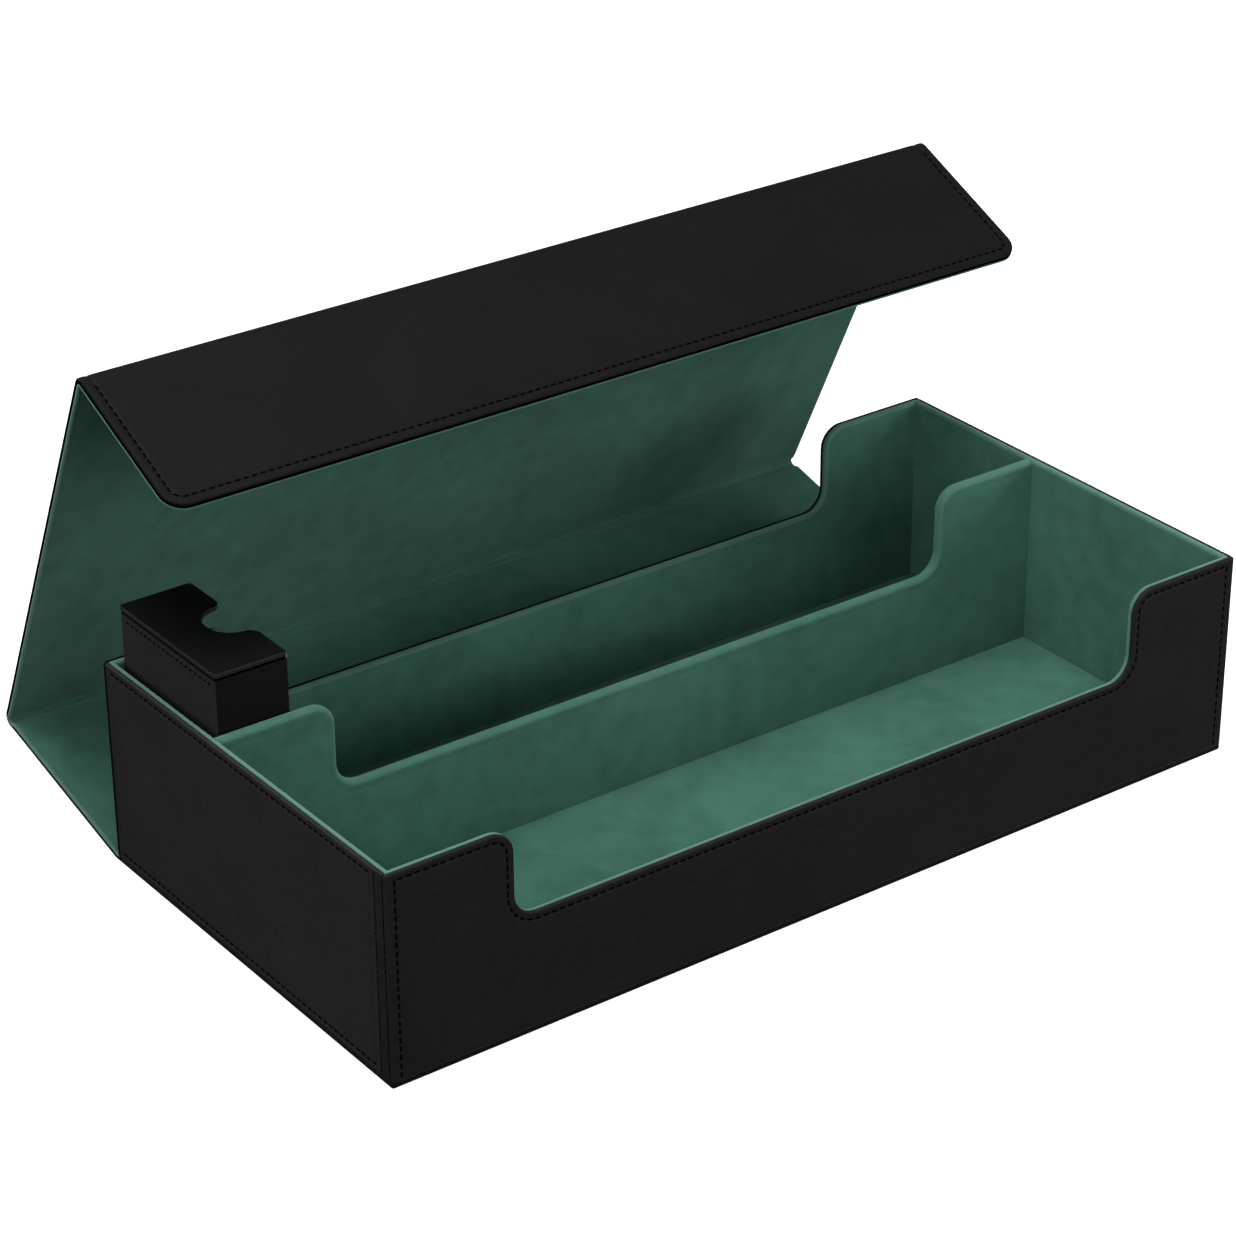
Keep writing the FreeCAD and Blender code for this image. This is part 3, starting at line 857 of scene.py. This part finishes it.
# The groove under the plate, coloured near-black with the thread's material as painted shade: inset, and
# distance below the plate.
CASE_GROOVE = ((0, 1.7), (0.12, 1.35), (0.36, 1.2), (0.36, 0.1))
# The sewn line on the closed side: distance below the plate, and from the wall's two ends.
CASE_SEAM_DROP = 4.2
CASE_SEAM_ENDS = 4, 3
PLATE_CORNER = 1.6
PLATE_MOUTH = 2.2
NOTCH_MIDDLE = 65.0
NOTCH_HALF = 12.9
NOTCH_DEPTH = 15.3
NOTCH_MOUTH = 5.0
NOTCH_BOTTOM = 12.3
LEVEL = Place((0, 0, 0), X, Y)


def case_walls():
    """The card case's wrapped walls, open to one side, with a groove under the lid plate."""
    low, high = CASE_LOW, CASE_HIGH
    shell = Shell()
    outline = [
        (low.x, low.y, CASE_CORNER),
        (high.x, low.y, CASE_LIP),
        (high.x, low.y + CASE_WALL, CASE_LIP),
        (CASE_INNER, low.y + CASE_WALL, CASE_INSIDE),
        (CASE_INNER, high.y - CASE_WALL, CASE_INSIDE),
        (high.x, high.y - CASE_WALL, CASE_LIP),
        (high.x, high.y, CASE_LIP),
        (low.x, high.y, CASE_CORNER),
    ]
    profile = [(0.5, low.z), (0.15, low.z + 0.15), (0, low.z + 0.5)]
    profile += [(inset, PLATE_FOOT - drop) for inset, drop in CASE_GROOVE]
    # Bands 4 and 5, the groove's recess under the plate, take the near-black thread material as painted
    # shade.
    shell.slab(LEVEL, outline, profile, rim=(4, 6))
    inner, front, back = CASE_INNER - 0.3, low.y + 1.5, high.y - 1.5
    bottom = [(inner, front, 0), (high.x, front, CASE_LIP), (high.x, back, CASE_LIP), (inner, back, 0)]
    profile = [(0.3, low.z + 0.1), (0, low.z + 0.4), (0, CASE_SHELF - 0.4), (0.4, CASE_SHELF)]
    shell.slab(LEVEL, bottom, profile)
    row = PLATE_FOOT - CASE_SEAM_DROP
    path = [Vector((-high.y + CASE_SEAM_ENDS[0], row)), Vector((-low.y - CASE_SEAM_ENDS[1], row))]
    shell.stitches(Place((low.x, 0, 0), -Y, Z), path, height=0.02, pitch=3.6, length=2.6)
    skins = case_leather_painted_light, thread, case_leather_painted_shade
    made = shell.piece("case_leather_wrap", skins, ("case_wrap_leather",))
    # Faces across the row take the darker lid copy of the leather, as painted shade.
    for face in made.data.polygons:
        if abs(face.normal.y) > 0.75 and face.material_index == 0:
            face.material_index = 2
    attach(made, "card_case")


def case_plate():
    """The card case's lid plate, with its thumb notch."""
    left, right = CASE_LOW.x - PLATE_PROUD, CASE_HIGH.x
    front, back = CASE_LOW.y - PLATE_PROUD, CASE_HIGH.y + PLATE_PROUD
    outline = [
        (left, front, PLATE_CORNER),
        (right, front, PLATE_MOUTH),
        (right, NOTCH_MIDDLE - NOTCH_HALF, NOTCH_MOUTH),
        (right - NOTCH_DEPTH, NOTCH_MIDDLE - NOTCH_HALF, NOTCH_BOTTOM),
        (right - NOTCH_DEPTH, NOTCH_MIDDLE + NOTCH_HALF, NOTCH_BOTTOM),
        (right, NOTCH_MIDDLE + NOTCH_HALF, NOTCH_MOUTH),
        (right, back, PLATE_MOUTH),
        (left, back, PLATE_CORNER),
    ]
    profile = rounding(0.3, PLATE_FOOT + 0.3, 0.3, -90, 0, 4)
    profile += rounding(0.5, PLATE_TOP - 0.5, 0.5, 0, 90, 6)
    profile += [(1.6, PLATE_TOP), (2.4, PLATE_TOP)]
    shell = Shell()
    # The plate's top takes the darker copy of the leather as painted shade, and its rounded sides the
    # lighter copy of the walls as painted light.
    shell.slab(LEVEL, outline, profile, rim=(2, 9))
    nodes = ("case_top_leather", "case_top_lining")
    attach(shell.piece("case_top_wrap", (case_leather_painted_shade, case_leather_painted_light), nodes), "card_case")


def case_cloth():
    """The card case's lining: three walls, and a mat on its bottom."""
    low, high = CASE_LOW, CASE_HIGH
    face = CASE_WALL + CASE_LINING
    mouth = high.x - 0.5
    outline = [
        (CASE_INNER, low.y + CASE_WALL, 0.2),
        (mouth, low.y + CASE_WALL, 0),
        (mouth, low.y + face, 0.15),
        (low.x + face, low.y + face, CASE_INSIDE),
        (low.x + face, high.y - face, CASE_INSIDE),
        (mouth, high.y - face, 0.15),
        (mouth, high.y - CASE_WALL, 0),
        (CASE_INNER, high.y - CASE_WALL, 0.2),
    ]
    profile = [(0.05, CASE_SHELF), (0, CASE_SHELF + 0.1)]
    profile += [(0, PLATE_FOOT - 0.3), (0.05, PLATE_FOOT - 0.2)]
    shell = Shell()
    shell.slab(LEVEL, outline, profile)
    tuck = face - 0.1
    mat = rectangle(low.x + tuck, mouth, low.y + tuck, high.y - tuck, 0)
    profile = [(0, CASE_SHELF - 0.2), (0, CASE_SHELF + 0.25), (0.15, CASE_SHELF + CASE_LINING)]
    shell.slab(LEVEL, mat, profile)
    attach(shell.piece("case_cloth", (fabric,), ("case_lining",)), "card_case")


case_walls()
case_plate()
case_cloth()


# ---------------------------------------------------------------- enclosed pieces

for name, shape in frame["nodes"].items():
    inside = plating if name.endswith("magnets") else board
    shape.data.materials.clear()
    shape.data.materials.append(inside)


# ---------------------------------------------------------------- floor, lights and camera

# Lengths from here on are in metres.

FLOOR_HALF = 6.0
FLOOR_DROP = 0.0002
FLOOR_GLOW = 0.85


def floor():
    """A plain white floor, bright enough by itself to be white, that casts no light on the box."""
    corners = [(x, y, 0) for x, y, _ in rectangle(-FLOOR_HALF, FLOOR_HALF, -FLOOR_HALF, FLOOR_HALF)]
    data = bpy.data.meshes.new("floor")
    data.from_pydata(corners, [], [(0, 1, 2, 3)])
    made, tree, shader, spot = material("floor_white", (0.8, 0.8, 0.8), 0.9, 0.0)
    shader.inputs["Emission Color"].default_value = (1, 1, 1, 1)
    shader.inputs["Emission Strength"].default_value = FLOOR_GLOW
    greys = (0.49, 0.49, 0.49), (0.51, 0.51, 0.51)
    tree.links.new(mottled(tree, spot, greys, (3, 40)), shader.inputs["Base Color"])
    data.materials.append(made)
    sheet = bpy.data.objects.new("floor", data)
    sheet.location.z = -FLOOR_DROP
    sheet.visible_diffuse = False
    sheet.visible_glossy = False
    bpy.context.scene.collection.objects.link(sheet)


def area_light(name, place, aim, size, power):
    """A square soft light that faces a point."""
    data = bpy.data.lights.new(name, "AREA")
    data.shape = "SQUARE"
    data.size = size
    data.energy = power
    made = bpy.data.objects.new(name, data)
    made.location = place
    made.rotation_euler = (Vector(aim) - Vector(place)).to_track_quat("-Z", "Y").to_euler()
    bpy.context.scene.collection.objects.link(made)


# Where the world's light leaves the strength from below and reaches that of the horizon, as
# shares of the way from straight down to straight up.
WORLD_BELOW = 0.44
WORLD_LEVEL = 0.54


def world(below, level, above):
    """Even studio light from all round, as a strength below, level with and above the object."""
    made = bpy.data.worlds.new("studio")
    made.use_nodes = True
    tree = made.node_tree
    way = node(tree, "ShaderNodeTexCoord").outputs["Generated"]
    height = node(tree, "ShaderNodeSeparateXYZ", [(way, "Vector")]).outputs["Z"]
    share = node(tree, "ShaderNodeMapRange", [(height, "Value")])
    share.inputs["From Min"].default_value = -1
    ramp = node(tree, "ShaderNodeValToRGB", [(share.outputs["Result"], "Fac")])
    steps = ramp.color_ramp.elements
    steps[0].position, steps[0].color = WORLD_BELOW, (below, below, below, 1)
    steps[1].position, steps[1].color = 1.0, (above, above, above, 1)
    horizon = steps.new(WORLD_LEVEL)
    horizon.color = (level, level, level, 1)
    tree.links.new(ramp.outputs["Color"], tree.nodes["Background"].inputs["Color"])
    bpy.context.scene.world = made


# The camera's lens and film width in millimetres, its place in metres, and its sideways and
# backward directions.
LENS = 108.73
FILM_WIDTH = 36
EYE = Vector((-0.86768, -1.14068, 0.84281))
EYE_RIGHT = Vector((0.80554, -0.59250, -0.00647))
EYE_BACK = Vector((-0.52260, -0.71557, 0.46352))


def camera():
    """A long lens that looks from the left front and above."""
    data = bpy.data.cameras.new("camera")
    data.lens = LENS
    data.sensor_width = FILM_WIDTH
    data.clip_end = 50
    made = bpy.data.objects.new("camera", data)
    turn = Matrix((EYE_RIGHT, EYE_BACK.cross(EYE_RIGHT), EYE_BACK)).transposed().to_4x4()
    made.matrix_world = Matrix.Translation(EYE) @ turn
    bpy.context.scene.collection.objects.link(made)
    bpy.context.scene.camera = made


floor()
area_light("overhead", (-0.2, 0.0, 2.2), (0, 0, 0), 1.3, 42)
area_light("front_fill", (-0.2, -2.1, 1.1), (0, 0, 0.1), 0.9, 10)
area_light("left_fill", (-2.0, -0.5, 0.7), (0, 0, 0.05), 1.0, 17)
area_light("right_fill", (0.72, -0.78, 0.3), (0.15, 0, 0.08), 0.35, 4)
area_light("rear_fill", (-0.5, 2.3, 0.9), (0, 0.2, 0.08), 1.2, 26)
world(0.07, 0.19, 0.35)
camera()
bpy.context.scene.view_settings.view_transform = "Standard"
